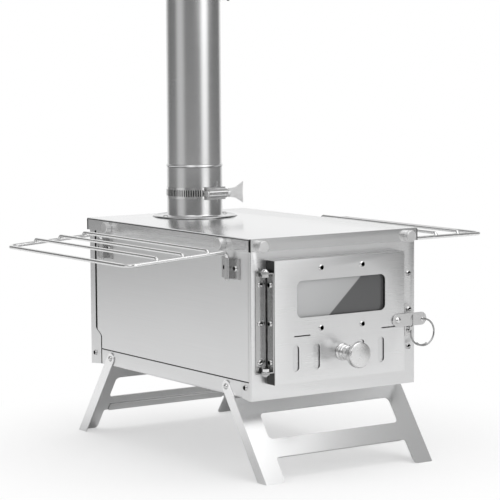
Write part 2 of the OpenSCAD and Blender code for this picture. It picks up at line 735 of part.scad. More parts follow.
// The keeper: a plate on the front panel, a blade and the hook that holds the strap
module keeper_outline() {
  right = keeper_screw_x + keeper_w / 2;
  polygon([[right - keeper_w, keeper_low], [right - keeper_corner, keeper_low],
    [right, keeper_low + keeper_corner], [right, keeper_high - keeper_corner],
    [right - keeper_corner, keeper_high], [right - keeper_w, keeper_high]]);
  translate([blade_x - keeper_t / 2, -latch_r]) square([keeper_screw_x - blade_x, latch_h - notch_web]);
}
module latch_keeper() bright() {
  nose_y = latch_y - 2 * clear - keeper_t;
  nose_z = rivet_z - latch_r - 2 * clear;
  difference() {
    upright(-face_y - keeper_t, keeper_t) translate([0, rivet_z]) keeper_outline();
    for (z = keeper_screw_places) end_hole(-1, keeper_screw_x, z);
  }
  sideways(blade_x - keeper_t / 2, keeper_t) polygon([
    [-face_y, nose_z], [-face_y, rivet_z + latch_r - notch_web],
    [-face_y - keeper_t, rivet_z + latch_r - notch_web], [latch_y + latch_t + 2 * clear, rivet_z],
    [latch_y + latch_t + 2 * clear, nose_z], [nose_y, nose_z], [nose_y, nose_z - keeper_nose_h]]);
  block([blade_x + keeper_t / 2 - keeper_head_w, nose_y, nose_z - keeper_nose_h],
    [blade_x + keeper_t / 2, nose_y + keeper_t, nose_z]);
}
module keeper_screws() bright() for (z = keeper_screw_places)
  translate([keeper_screw_x, -face_y - keeper_t, z]) screw_front(2 * sheet + keeper_t);

// A clip on the side wall: two wings and a tube for the rack's pin
module rack_clip() difference() {
  union() {
    block([wall_x, -clip_wing, 0], [wall_x + sheet, clip_wing, clip_h]);
    block([wall_x, -clip_tube_r, 0], [rack_pin_x, clip_tube_r, clip_h]);
    translate([rack_pin_x, 0, 0]) cylinder(r = clip_tube_r, h = clip_h);
  }
  translate([rack_pin_x, 0, -over]) cylinder(r = rack_wire / 2 + running, h = clip_h + 2 * over);
  for (dy = [-1, 1]) side_hole(1, dy * clip_screw_y, clip_screw_z - clip_z);
}
module rack_clips(side) bright() for (end = [-1, 1])
  translate([0, end * rack_half_l, clip_z]) to_side(side) rack_clip();
module left_rack_clips() rack_clips(-1);
module right_rack_clips() rack_clips(1);
module clip_screws() bright() for (side = [-1, 1], end = [-1, 1], out = [0, 1])
  translate([side * (wall_x + sheet), end * (rack_half_l + (2 * out - 1) * clip_screw_y), clip_screw_z])
    screw_side(side, (2 + out) * sheet);

// One rack: bent pins, side wires, the outer wire and the raised bars between
module rack_bend(r, wire, from, turn) rotate(from) rotate_extrude(angle = turn)
  translate([r, 0]) circle(d = wire);
module rack(droop) {
  bend_x = rack_pin_x + rack_bend_r;
  bend_z = rack_top_z - rack_bend_r;
  reach = (wall_x + rack_reach - rack_wire / 2 - bend_x - rack_bend_r * sin(droop)) / cos(droop);
  side_l = reach - rack_corner + rack_lap;
  for (end = [-1, 1]) translate([0, end * rack_half_l, 0]) {
    translate([rack_pin_x, 0, clip_z - rack_pin_drop])
      cylinder(d = rack_wire, h = bend_z - clip_z + rack_pin_drop);
    translate([bend_x, 0, bend_z]) rotate([90, 0, 0]) mirror([1, 0, 0])
      rack_bend(rack_bend_r, rack_wire, 0, 90 + droop);
  }
  translate([bend_x + rack_bend_r * sin(droop), 0, bend_z + rack_bend_r * cos(droop)])
    rotate([0, droop, 0]) {
      for (end = [-1, 1]) translate([-rack_lap, end * rack_half_l, 0]) rod_x(rack_frame_wire / 2, side_l);
      for (end = [-1, 1]) to_end(end) translate([reach - rack_corner, rack_half_l - rack_corner, 0])
        rack_bend(rack_corner, rack_frame_wire, 0, 90);
      translate([reach, -rack_half_l + rack_corner, 0])
        rod_y(rack_frame_wire / 2, 2 * (rack_half_l - rack_corner));
      for (share = rack_bar_shares) translate([share * reach, 0, 0]) rack_bar();
    }
}
module rack_bar() {
  straight = rack_half_l - rack_bar_corner;
  translate([0, -straight, rack_bar_rise]) rod_y(rack_bar_wire / 2, 2 * straight);
  for (end = [-1, 1]) to_end(end) translate([0, straight, rack_bar_rise - rack_bar_corner])
    rotate([90, 0, 90]) rack_bend(rack_bar_corner, rack_bar_wire, 0, 90);
}
module left_rack() bright() to_side(-1) rack(left_droop);
module right_rack() bright() rack(right_droop);

// One folding leg frame: flanged plate with a window, an open foot and a hemmed bar
module leg_sheet() {
  inner_w = 2 * (leg_x - leg_side);
  difference() {
    union() {
      block([-leg_x, -leg_out, -leg_reach], [leg_x, -leg_out + sheet, -leg_top]);
      for (side = [-1, 1]) to_side(side) difference() {
        union() {
          block([leg_x - sheet, -leg_out, -leg_reach], [leg_x, leg_flange - leg_out, 0]);
          translate([leg_x - sheet, leg_flange / 2 - leg_out, 0]) rod_x(leg_flange / 2, sheet);
        }
        translate([leg_x - sheet - over, 0, 0]) rod_x(pivot_r + running, sheet + 2 * over);
      }
    }
    upright(-leg_out - over, sheet + 2 * over) {
      translate([0, -(leg_window_top + leg_window_low) / 2])
        round_rect(inner_w, leg_window_low - leg_window_top, leg_corner);
      translate([0, -leg_bar_low - leg_reach / 2]) round_rect(inner_w, leg_reach, leg_corner / 2);
      for (side = [0, 1]) mirror([side, 0]) translate([inner_w / 2, foot_z]) difference() {
        translate([-over, -over]) square(foot_corner + over);
        translate([foot_corner, foot_corner]) circle(foot_corner);
      }
    }
  }
  hem_x = leg_x - leg_side - leg_corner;
  hem_y = -leg_out + sheet;
  block([-hem_x, hem_y + hem_gap, -leg_bar_low], [hem_x, hem_y + hem_gap + sheet, -leg_bar_low + hem_w]);
  block([-hem_x, hem_y, -leg_bar_low], [hem_x, hem_y + hem_gap, -leg_bar_low + sheet]);
}
module leg_frame() intersection() {
  translate([0, -leg_pivot_y, base_z + leg_pivot_z]) rotate([-leg_lean, 0, 0]) leg_sheet();
  block([-body_w, -body_l, 0], [body_w, body_l, top_z]);
}
module front_legs() steel() leg_frame();
module rear_legs() steel() to_end(-1) leg_frame();
module leg_pivots() bright() for (side = [-1, 1], end = [-1, 1])
  translate([side * (leg_x + running), end * leg_pivot_y, base_z + leg_pivot_z])
    rotate([0, side * 90, 0]) {
      dome();
      translate([0, 0, -pivot_l]) cylinder(r = pivot_r, h = pivot_l);
      translate([0, 0, -pivot_l]) cylinder(r = screw_nut_r + sheet, h = screw_nut_h, $fn = 6);
    }

// A pipe section about its bead: the slip end below, the open end above
module pipe_shell(l) rotate_extrude() polygon([
  [slip_r - pipe_wall, -slip_l], [slip_r, -slip_l], [slip_r, 0], [pipe_r, 0],
  for (p = bead_shares) [pipe_r + p[0] * bead_out, p[1] * bead_h],
  [pipe_r, bead_h], [pipe_r, l - slip_l], [pipe_r - pipe_wall, l - slip_l],
  [pipe_r - pipe_wall, bead_h], [slip_r - pipe_wall, 0]]);
module at_joint(k) translate([0, flue_y, flue_z + clear + (k - 1) * pipe_step]) children();
module pipe_section(k) bright() at_joint(k + 1) pipe_shell(pipe_l - clear / 2);
module pipe_1() pipe_section(1);
module pipe_2() pipe_section(2);
module pipe_3() pipe_section(3);
module pipe_4() pipe_section(4);
module pipe_5() pipe_section(5);
module pipe_6() pipe_section(6);

module damper_pipe() bright() at_joint(1) difference() {
  pipe_shell(pipe_l - clear / 2);
  translate([-2 * pipe_r, 0, damper_rise]) rod_x(damper_rod_r + running, 4 * pipe_r);
}
module damper_shaft() bright() at_joint(1) translate([0, 0, damper_rise]) {
  bend_x = pipe_r + damper_handle_out - handle_bend_r;
  translate([-pipe_r - damper_pin_out, 0, 0]) rod_x(damper_rod_r, pipe_r + damper_pin_out + bend_x);
  translate([-pipe_r - damper_pin_out, 0, 0]) rod_x(damper_nut_r, damper_pin_out - 2 * washer_t);
  translate([spring_from - washer_t, 0, 0]) rod_x(damper_washer_r, washer_t);
  translate([spring_from + spring_l, 0, 0]) rod_x(damper_washer_r, washer_t);
  translate([bend_x, 0, handle_bend_r]) rotate([90, 0, 0]) rotate(-90) rotate_extrude(angle = 90)
    translate([handle_bend_r, 0]) circle(r = damper_rod_r);
  translate([bend_x + handle_bend_r, 0, handle_bend_r])
    cylinder(r = damper_rod_r, h = damper_handle_h - handle_bend_r);
}
module damper_flap() steel() at_joint(1) translate([0, 0, damper_rise]) difference() {
  union() {
    translate([0, -damper_flap_t / 2, 0]) rod_y(damper_flap_r, damper_flap_t);
    translate([-damper_flap_r, 0, 0]) rod_x(damper_rod_r + sheet, 2 * damper_flap_r);
  }
  translate([-pipe_r, 0, 0]) rod_x(damper_rod_r + running / 2, 2 * pipe_r);
}

// The spring on the damper's rod: one unbroken wire whose ends run straight to their seats
spring_steps = spring_turns * spring_rings;
spring_pitch = (spring_l - 2 * spring_wire) / spring_turns;
function spring_radial(k) = let (turn = 360 * min(max(k, 0), spring_steps) / spring_rings)
  [0, cos(turn), sin(turn)];
function spring_point(k) = spring_r * spring_radial(k) + [k < 0 ? 0 : k > spring_steps ? spring_l
  : spring_wire + spring_pitch * k / spring_rings, 0, 0];
function unit(v) = v / norm(v);
spring_path = [for (k = [-1:spring_steps + 1]) spring_point(k)];
spring_last = len(spring_path) - 1;
function spring_run(i) = i == 0 || i == spring_last ? [1, 0, 0]
  : unit(spring_path[i + 1] - spring_path[i - 1]);
spring_points = [for (i = [0:spring_last])
  let (out = spring_radial(i - 1), across = cross(spring_run(i), out))
  for (s = [0:spring_sides - 1]) let (a = 360 * s / spring_sides)
    spring_path[i] + spring_wire / 2 * (cos(a) * out + sin(a) * across)];
function ring_corner(i, s) = i * spring_sides + s % spring_sides;
spring_faces = concat(
  [[for (s = [0:spring_sides - 1]) s]],
  [for (i = [0:spring_last - 1], s = [0:spring_sides - 1])
    [ring_corner(i, s), ring_corner(i + 1, s), ring_corner(i + 1, s + 1)]],
  [for (i = [0:spring_last - 1], s = [0:spring_sides - 1])
    [ring_corner(i, s), ring_corner(i + 1, s + 1), ring_corner(i, s + 1)]],
  [[for (s = [spring_sides - 1:-1:0]) ring_corner(spring_last, s)]]);
spring_gap = min([for (i = [0:spring_last - spring_rings / 2], j = [i + spring_rings / 2:spring_last])
  norm(spring_path[i] - spring_path[j])]) - spring_wire;
echo(spring_gap = spring_gap);
module damper_spring() dark() at_joint(1) translate([spring_from, 0, damper_rise])
  polyhedron(spring_points, spring_faces);

module spark_arrestor() bright() at_joint(pipe_count + 2) difference() {
  pipe_shell(arrestor_l);
  for (row = [0:arrestor_rows - 1], column = [0:arrestor_columns - 1])
    translate([0, 0, arrestor_first + row * arrestor_pitch]) rotate(column * 360 / arrestor_columns)
      translate([pipe_r - pipe_wall - over, 0, 0]) rod_x(arrestor_hole_r, pipe_wall + 2 * over);
}
module arrestor_cap() bright() at_joint(pipe_count + 2)
  translate([0, 0, arrestor_l - slip_l - cap_lap]) difference() {
    cylinder(r = pipe_r - pipe_wall - running, h = cap_lap);
    translate([0, 0, -over]) cylinder(r = pipe_r - 3 * pipe_wall, h = cap_lap + over - sheet);
  }
module guy_lugs() bright() at_joint(pipe_count + 2) translate([0, 0, lug_rise])
  for (k = [0:lug_count - 1]) rotate(k * 360 / lug_count) guy_lug();
module guy_lug() {
  difference() {
    intersection() {
      translate([0, 0, -lug_plate_h / 2]) cylinder(r = pipe_r + sheet, h = lug_plate_h);
      block([0, -lug_plate_w / 2, -lug_plate_h / 2], [pipe_r + sheet, lug_plate_w / 2, lug_plate_h / 2]);
    }
    translate([0, 0, -lug_plate_h]) cylinder(r = pipe_r + running, h = 2 * lug_plate_h);
  }
  upright(-lug_t / 2, lug_t) difference() {
    union() {
      translate([pipe_r + lug_out, 0]) circle(lug_r);
      translate([pipe_r + sheet / 2, -lug_r]) square([lug_out - sheet / 2, 2 * lug_r]);
    }
    translate([pipe_r + lug_out, 0]) circle(lug_hole_r);
  }
}

// A worm clamp about the pipe: slotted band and the housing of its screw
module hose_clamp(r) {
  difference() {
    cylinder(r = r + band_t, h = band_h, center = true);
    cylinder(r = r, h = band_h + 2 * over, center = true);
    for (k = [0:band_slots - 1]) rotate(slot_start_angle - k * slot_angle)
      block([r - over, -band_slot_w / 2, -band_slot_h / 2],
        [r + band_t + over, band_slot_w / 2, band_slot_h / 2]);
  }
  difference() {
    union() {
      block([housing_x - housing_l / 2, -r - band_t - housing_d / 2, -housing_h / 2],
        [housing_x + housing_l / 2, -r - band_t, housing_h / 2]);
      translate([housing_x - housing_l / 2, -r - worm_out, 0]) rod_x(worm_r + 2 * sheet, housing_l);
      block([housing_x - housing_l / 2, -r - band_t, -band_h / 2],
        [housing_x + housing_l / 2, housing_foot - r, band_h / 2]);
    }
    cylinder(r = r + band_t / 2, h = housing_h + 2 * over, center = true);
    translate([housing_x - housing_l, -r - worm_out, 0]) rod_x(worm_r + running, 2 * housing_l);
  }
}
module at_clamp(k)
  translate([0, flue_y, flue_z - clamp_drop + (k - 1) * pipe_step + (k > 1 ? clear : 0)]) children();
module base_clamp() bright() at_clamp(1) hose_clamp(collar_r + running);
module pipe_clamps() bright() for (k = [2:pipe_count + 2]) at_clamp(k) hose_clamp(pipe_r + running);

// The clamp's screw: worm, collar and the fishtail key
module key_side() polygon([[0, 0], for (p = key_shares) [p[0] * key_l, p[1] * key_tip_h / 2],
  [key_dent_share * key_l, 0]]);
module clamp_key(k) bright() at_clamp(k)
  translate([housing_x, -(k > 1 ? pipe_r : collar_r) - running - worm_out, 0]) {
    translate([-housing_l / 2 - sheet, 0, 0]) rod_x(worm_r, housing_l + 2 * sheet + key_neck);
    translate([housing_l / 2 + sheet, 0, 0]) rod_x(key_neck_r, key_neck - sheet);
    translate([housing_l / 2 + key_neck, -key_t / 2, 0]) for (up = [0, 1]) mirror([0, 0, up])
      upright(0, key_t) key_side();
  }
module clamp_key_1() clamp_key(1);
module clamp_key_2() clamp_key(2);
module clamp_key_3() clamp_key(3);
module clamp_key_4() clamp_key(4);
module clamp_key_5() clamp_key(5);
module clamp_key_6() clamp_key(6);
module clamp_key_7() clamp_key(7);
module clamp_key_8() clamp_key(8);

bottom_tray();
left_wall();
right_wall();
front_panel();
rear_panel();
top_plate();
flue_collar();
collar_screws();
thumbscrews();
body_screws();
hinge_panel_leaf();
hinge_door_leaf();
hinge_bolts();
hinge_leaf_screws();
door_leaf_screws();
door();
window_glass();
window_retainer();
window_screws();
air_slide();
air_knob();
latch_strap();
latch_rivet();
latch_ring();
latch_keeper();
keeper_screws();
left_rack_clips();
right_rack_clips();
clip_screws();
left_rack();
right_rack();
front_legs();
rear_legs();
leg_pivots();
base_clamp();
damper_pipe();
damper_shaft();
damper_flap();
damper_spring();
pipe_1();
pipe_2();
pipe_3();
pipe_4();
pipe_5();
pipe_6();
spark_arrestor();
arrestor_cap();
guy_lugs();
pipe_clamps();
clamp_key_1();
clamp_key_2();
clamp_key_3();
clamp_key_4();
clamp_key_5();
clamp_key_6();
clamp_key_7();
clamp_key_8();
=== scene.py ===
"""Looks of the tent wood stove: brushed stainless sheet, polished fittings, window glass, and a studio."""

import json
import math

import bmesh
import bpy
from mathutils import Matrix, Vector


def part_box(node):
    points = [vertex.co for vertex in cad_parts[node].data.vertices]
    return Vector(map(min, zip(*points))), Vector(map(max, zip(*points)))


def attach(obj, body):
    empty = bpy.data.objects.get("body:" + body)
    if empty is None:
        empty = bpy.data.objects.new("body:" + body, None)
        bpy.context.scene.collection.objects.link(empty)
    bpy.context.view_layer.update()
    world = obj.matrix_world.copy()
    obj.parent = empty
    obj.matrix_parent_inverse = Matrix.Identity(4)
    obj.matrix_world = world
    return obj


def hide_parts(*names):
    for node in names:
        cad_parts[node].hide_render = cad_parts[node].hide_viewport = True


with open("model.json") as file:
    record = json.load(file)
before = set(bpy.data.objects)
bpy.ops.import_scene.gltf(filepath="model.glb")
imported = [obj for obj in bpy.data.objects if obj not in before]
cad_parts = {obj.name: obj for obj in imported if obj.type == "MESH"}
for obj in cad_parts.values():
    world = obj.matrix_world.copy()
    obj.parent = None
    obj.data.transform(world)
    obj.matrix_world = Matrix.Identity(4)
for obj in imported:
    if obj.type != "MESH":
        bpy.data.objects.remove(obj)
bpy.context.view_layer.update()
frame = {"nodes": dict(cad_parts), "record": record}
nodes = frame["nodes"]


# Materials


class Finish:
    """A Principled material with short calls for the nodes that shape its surface."""

    def __init__(self, name, color, metallic=1.0, roughness=0.3):
        self.material = bpy.data.materials.new(name)
        self.material.use_nodes = True
        self.tree = self.material.node_tree
        self.shader = self.tree.nodes["Principled BSDF"]
        self.set("Base Color", (*color, 1.0))
        self.set("Metallic", metallic)
        self.set("Roughness", roughness)
        self.place = self.add("ShaderNodeTexCoord").outputs["Object"]

    def add(self, kind, **settings):
        node = self.tree.nodes.new(kind)
        for key, value in settings.items():
            setattr(node, key, value)
        return node

    def link(self, source, target):
        self.tree.links.new(source, target)

    def set(self, socket, value):
        self.shader.inputs[socket].default_value = value

    def stretched(self, scale):
        mapping = self.add("ShaderNodeMapping")
        mapping.inputs["Scale"].default_value = scale
        self.link(self.place, mapping.inputs["Vector"])
        return mapping.outputs["Vector"]

    def noise(self, vector, scale, detail=2.0, rough=0.5):
        noise = self.add("ShaderNodeTexNoise")
        noise.inputs["Scale"].default_value = scale
        noise.inputs["Detail"].default_value = detail
        noise.inputs["Roughness"].default_value = rough
        self.link(vector, noise.inputs["Vector"])
        return noise.outputs["Fac"]

    def spread(self, value, low, high, start=0.3, end=0.7):
        node = self.add("ShaderNodeMapRange")
        node.inputs["From Min"].default_value = start
        node.inputs["From Max"].default_value = end
        node.inputs["To Min"].default_value = low
        node.inputs["To Max"].default_value = high
        self.link(value, node.inputs["Value"])
        return node.outputs["Result"]

    def math(self, kind, a, b):
        node = self.add("ShaderNodeMath", operation=kind)
        for socket, value in zip(node.inputs, (a, b)):
            if isinstance(value, (int, float)):
                socket.default_value = value
            else:
                self.link(value, socket)
        return node.outputs["Value"]

    def tones(self, value, dark, light):
        mix = self.add("ShaderNodeMix", data_type="RGBA")
        mix.inputs[6].default_value = (*dark, 1.0)
        mix.inputs[7].default_value = (*light, 1.0)
        self.link(value, mix.inputs[0])
        return mix.outputs[2]

    def times(self, color, shade):
        mix = self.add("ShaderNodeMix", data_type="RGBA", blend_type="MULTIPLY")
        mix.inputs[0].default_value = 1.0
        self.link(color, mix.inputs[6])
        self.link(shade, mix.inputs[7])
        return mix.outputs[2]

    def axis(self, letter, source=None):
        axes = self.add("ShaderNodeSeparateXYZ")
        self.link(source or self.place, axes.inputs["Vector"])
        return axes.outputs[letter]

    def facing(self, color, letter, side, shade):
        """The colour, darkened on the faces that look one way along an axis."""
        look = self.axis(letter, self.add("ShaderNodeTexCoord").outputs["Normal"])
        return self.times(color, self.spread(look, 1.0, shade, 0.7 * side, 0.9 * side))

    def darkened(self, color, shade, **bands):
        """The colour, darkened where every named axis is within its band, a middle and a half width."""
        inside = None
        for letter, (middle, half) in bands.items():
            away = self.math("ABSOLUTE", self.math("SUBTRACT", self.axis(letter), middle), 0.0)
            here = self.spread(away, 1.0, 0.0, half, half * 1.15)
            inside = here if inside is None else self.math("MULTIPLY", inside, here)
        return self.times(color, self.spread(inside, 1.0, shade, 0.0, 1.0))

    def ringed(self, color, middle, radius, half, shade):
        """The colour, darkened in a thin level ring about an upright axis."""
        away = self.add("ShaderNodeVectorMath", operation="SUBTRACT")
        away.inputs[1].default_value = (*middle, 0)
        self.link(self.place, away.inputs[0])
        flat = self.add("ShaderNodeVectorMath", operation="MULTIPLY")
        flat.inputs[1].default_value = (1, 1, 0)
        self.link(away.outputs["Vector"], flat.inputs[0])
        length = self.add("ShaderNodeVectorMath", operation="LENGTH")
        self.link(flat.outputs["Vector"], length.inputs[0])
        off = self.math("ABSOLUTE", self.math("SUBTRACT", length.outputs["Value"], radius), 0.0)
        return self.times(color, self.spread(off, shade, 1.0, half * 0.7, half * 1.3))

    def shaded_inside(self, color, middle, shade):
        """The colour, with painted shade on the faces that look in at a middle: the inner side."""
        inward = self.add("ShaderNodeVectorMath", operation="SUBTRACT")
        inward.inputs[1].default_value = middle
        self.link(self.place, inward.inputs[0])
        dot = self.add("ShaderNodeVectorMath", operation="DOT_PRODUCT")
        self.link(inward.outputs["Vector"], dot.inputs[0])
        self.link(self.add("ShaderNodeTexCoord").outputs["Normal"], dot.inputs[1])
        return self.times(color, self.spread(dot.outputs["Value"], shade, 1.0, -0.02, 0.0))

    def bump(self, height, strength, distance):
        node = self.add("ShaderNodeBump")
        node.inputs["Strength"].default_value = strength
        node.inputs["Distance"].default_value = distance
        self.link(height, node.inputs["Height"])
        self.link(node.outputs["Normal"], self.shader.inputs["Normal"])


def gray(value, tint=0.0):
    return (value, value + tint * 0.5, value + tint)


def brushed_steel(name, tone, roughness, grain, depth=0.004, uneven=0.015, marks=None):
    """Brushed stainless sheet: fine scratches along one way, and faint cloudy patches from handling."""
    finish = Finish(name, gray(tone), roughness=roughness)
    scratches = finish.noise(finish.stretched(grain), 1.0, 3.0, 0.6)
    clouds = finish.noise(finish.place, 9.0, 3.0, 0.5)
    light = finish.math("ADD", finish.math("MULTIPLY", scratches, 0.6), finish.math("MULTIPLY", clouds, 0.4))
    color = finish.tones(finish.spread(light, 0.0, 1.0), gray(tone * 0.97, 0.004), gray(tone * 1.03, 0.004))
    # marks, where given, adds painted shade to the colour
    if marks:
        color = marks(finish, color)
    finish.link(color, finish.shader.inputs["Base Color"])
    rough = finish.spread(light, roughness - uneven, roughness + uneven)
    finish.link(rough, finish.shader.inputs["Roughness"])
    finish.bump(scratches, depth, 0.0002)
    return finish.material


def polished_steel(name, tone, roughness, worn=1.0):
    """Polished fittings: bright, with faint handling marks."""
    finish = Finish(name, gray(tone), roughness=roughness)
    marks = finish.noise(finish.place, 260.0, 3.0, 0.6)
    rough = finish.spread(marks, roughness * (1 - 0.25 * worn), roughness * (1 + 0.35 * worn))
    finish.link(rough, finish.shader.inputs["Roughness"])
    dull, bright = gray(tone * (1 - 0.06 * worn)), gray(tone * (1 + 0.03 * worn))
    color = finish.tones(finish.spread(marks, 0.0, 1.0), dull, bright)
    finish.link(color, finish.shader.inputs["Base Color"])
    finish.bump(marks, 0.012 * worn, 0.0002)
    return finish.material


# The pane's painted reflection: where its slanting edge starts and how it leans, and the glass colour clear
# of it and under it
reflection_foot, reflection_lean = 0.1791, 1.086
clear_glass, reflected_glass = (0.125, 0.126, 0.128), (0.66, 0.665, 0.67)


def pane_glass():
    """Smoked heat-proof glass with a pale painted reflection over its left part, up to a slanting edge."""
    finish = Finish("window_pane", (0.16, 0.16, 0.165), metallic=0.0, roughness=0.05)
    finish.set("Transmission Weight", 0.25)
    finish.set("IOR", 1.5)
    # Painted reflection: pale glass left of a slanting line, fading towards it
    rise = finish.math("MULTIPLY", finish.math("SUBTRACT", finish.axis("Z"), reflection_foot), reflection_lean)
    across = finish.math("SUBTRACT", finish.axis("X"), rise)
    clear = finish.spread(across, 0.0, 1.0, 0.0052, 0.0072)
    fade = finish.spread(across, 1.0, 0.78, -0.06, 0.006)
    painted_reflection = finish.math("MULTIPLY", finish.math("SUBTRACT", 1.0, clear), fade)
    color = finish.tones(painted_reflection, clear_glass, reflected_glass)
    finish.link(color, finish.shader.inputs["Base Color"])
    smears = finish.noise(finish.place, 35.0, 4.0, 0.6)
    finish.link(finish.spread(smears, 0.03, 0.09), finish.shader.inputs["Roughness"])
    return finish.material


def dark_seal():
    """The heat-proof rope seal between the door and its pane."""
    finish = Finish("window_seal", (0.012, 0.012, 0.013), metallic=0.0, roughness=0.8)
    weave = finish.noise(finish.place, 900.0, 2.0, 0.6)
    finish.link(finish.spread(weave, 0.7, 0.95), finish.shader.inputs["Roughness"])
    finish.bump(weave, 0.3, 0.0004)
    return finish.material


# How fine the brushing is along each axis, as scratches per metre
along_x = (8, 2600, 2600)
along_y = (2600, 8, 2600)
around_z = (8, 8, 1500)

# The pieces that the painted shade lies on
fire_low, fire_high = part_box("front_panel")[0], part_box("rear_panel")[1]
fire_middle = (fire_low + fire_high) / 2
tray_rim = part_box("bottom_tray")[1].z
lid_low, lid_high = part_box("top_plate")
flue_low, flue_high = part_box("pipe_1")
flue = ((flue_low.x + flue_high.x) / 2, (flue_low.y + flue_high.y) / 2)

# Sizes of the painted shade, in metres, and how much of the light each leaves
rear_flange, flange_gap_half = 0.0110, 0.0018
flange_gap_z, flange_gap_half_z = 0.165, 0.075
wall_skin, rim_gap_half = 0.004, 0.0006
rear_zone, zone_soft = 0.03, 0.001
lid_seam_half, skirt_half = 0.0011, 0.0155
flange_ring_r, flange_ring_half = 0.0462, 0.0009
clamp_z, clamp_half = 0.2683, 0.0042
inside_shade, gap_shade, seam_shade, ring_shade, cut_shade, edge_shade = 0.12, 0.02, 0.04, 0.05, 0.03, 0.10


def wall_shade(finish, color):
    """Painted shade on the inner side, and in the gaps before the rear panel's flange and over the tray's
    rim.
    """
    color = finish.shaded_inside(color, fire_middle, inside_shade)
    gap_y = (fire_high.y - rear_flange - flange_gap_half, flange_gap_half)
    gap_z = (flange_gap_z, flange_gap_half_z)
    rim_z = (tray_rim + rim_gap_half, rim_gap_half)
    for x in (fire_low.x, fire_high.x):
        color = finish.darkened(color, gap_shade, X=(x, wall_skin), Y=gap_y, Z=gap_z)
        color = finish.darkened(color, seam_shade, X=(x, wall_skin), Z=rim_z)
    return color


def panel_shade(finish, color):
    """Painted shade on the inner side, and on the cut edges of the rear panel's flange."""
    color = finish.shaded_inside(color, fire_middle, inside_shade)
    zone = fire_high.y - rear_zone
    rear = finish.spread(finish.axis("Y"), 1.0, 0.0, zone, zone + zone_soft)
    look = finish.axis("Y", finish.add("ShaderNodeTexCoord").outputs["Normal"])
    ahead = finish.spread(look, 0.0, 1.0, -0.2, -0.3)
    cut = finish.math("MULTIPLY", finish.math("SUBTRACT", 1.0, rear), ahead)
    return finish.times(color, finish.spread(cut, 1.0, cut_shade, 0.0, 1.0))


def lid_shade(finish, color):
    """Painted shade on the inner side, in the open seams at the corners of the skirt and in the gap around
    the flange.
    """
    color = finish.shaded_inside(color, fire_middle, inside_shade)
    for x in (lid_low.x, lid_high.x):
        for y in (lid_low.y, lid_high.y):
            color = finish.darkened(color, seam_shade, X=(x, lid_seam_half), Y=(y, lid_seam_half),
                                    Z=(lid_low.z, skirt_half))
    return finish.ringed(color, flue, flange_ring_r, flange_ring_half, ring_shade)


def door_shade(finish, color):
    """Painted shade on the door's hinge side."""
    return finish.facing(color, "X", -1, edge_shade)


def slide_edge_shade(finish, color):
    """Painted shade on the slide's cut edges, which show in the air slots."""
    return finish.facing(finish.facing(color, "X", -1, edge_shade), "X", 1, edge_shade)


def clamp_shade(finish, color):
    """Painted shade: the collar's dark band under the slots of its clamp."""
    return finish.darkened(color, edge_shade, Z=(clamp_z, clamp_half))


finishes = {
    "body_steel": brushed_steel("body_steel", 0.80, 0.30, along_y, marks=wall_shade),
    "panel_steel": brushed_steel("panel_steel", 0.76, 0.28, along_x, marks=panel_shade),
    "cooktop_steel": brushed_steel("cooktop_steel", 0.76, 0.22, along_y, marks=lid_shade),
    "door_steel": brushed_steel("door_steel", 0.77, 0.28, along_x, marks=door_shade),
    "slide_steel": brushed_steel("slide_steel", 0.72, 0.28, along_x, marks=slide_edge_shade),
    "leg_steel": brushed_steel("leg_steel", 0.93, 0.26, along_x),
    "pipe_steel": brushed_steel("pipe_steel", 0.66, 0.26, around_z),
    "clamp_steel": polished_steel("clamp_steel", 0.78, 0.10),
    "wire_steel": polished_steel("wire_steel", 0.80, 0.18),
    "clip_steel": polished_steel("clip_steel", 0.52, 0.20),
    "screw_steel": polished_steel("screw_steel", 0.74, 0.10),
    "thumb_steel": polished_steel("thumb_steel", 0.78, 0.32, worn=0.5),
    "hinge_steel": polished_steel("hinge_steel", 0.50, 0.16),
    "latch_steel": polished_steel("latch_steel", 0.66, 0.20),
    "knob_steel": polished_steel("knob_steel", 0.74, 0.26, worn=0.25),
    "flap_steel": brushed_steel("flap_steel", 0.66, 0.34, along_x),
    "spring_steel": polished_steel("spring_steel", 0.50, 0.22),
    "window_glass": pane_glass(),
}
seal = dark_seal()
ring_wire = polished_steel("ring_wire", 0.40, 0.16)
collar_steel = brushed_steel("collar_steel", 0.66, 0.24, around_z, marks=clamp_shade)
# Near-black paint for the screws' cross recesses: painted shade
recess_shade = polished_steel("recess_shade", 0.04, 0.5)
key_steel = polished_steel("key_steel", 0.90, 0.36)


def give(node, material):
    for slot in nodes[node].material_slots:
        slot.material = material


for entry in frame["record"]["subparts"]:
    give(entry["node"], finishes[entry["material_slot"]])
give("latch_ring", ring_wire)
for k in range(1, 9):
    give("clamp_key_%d" % k, key_steel)


# Pieces with rounder bends, real heads and turned forms

mm = 0.001


def add_piece(name, mesh, body, slot, replaced, smooth=35, material=None, second=None):
    """Finishes one piece: normals outward, smooth faces with sharp edges kept, and its place in the frame."""
    bmesh.ops.recalc_face_normals(mesh, faces=mesh.faces)
    for face in mesh.faces:
        face.smooth = True
    for edge in mesh.edges:
        edge.smooth = len(edge.link_faces) == 2 and edge.calc_face_angle(0) < math.radians(smooth)
    data = bpy.data.meshes.new(name)
    mesh.to_mesh(data)
    mesh.free()
    piece = bpy.data.objects.new(name, data)
    bpy.context.collection.objects.link(piece)
    data.materials.append(material or finishes[slot])
    if second:
        data.materials.append(second)
    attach(piece, body)
    if replaced:
        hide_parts(*replaced)
    return piece


def cad_copy(node):
    """A copy of a CAD node with its triangles merged and its flat faces whole."""
    mesh = bmesh.new()
    mesh.from_mesh(nodes[node].data)
    bmesh.ops.remove_doubles(mesh, verts=mesh.verts, dist=1e-6)
    bmesh.ops.dissolve_limit(mesh, angle_limit=math.radians(0.5), verts=mesh.verts, edges=mesh.edges)
    return mesh


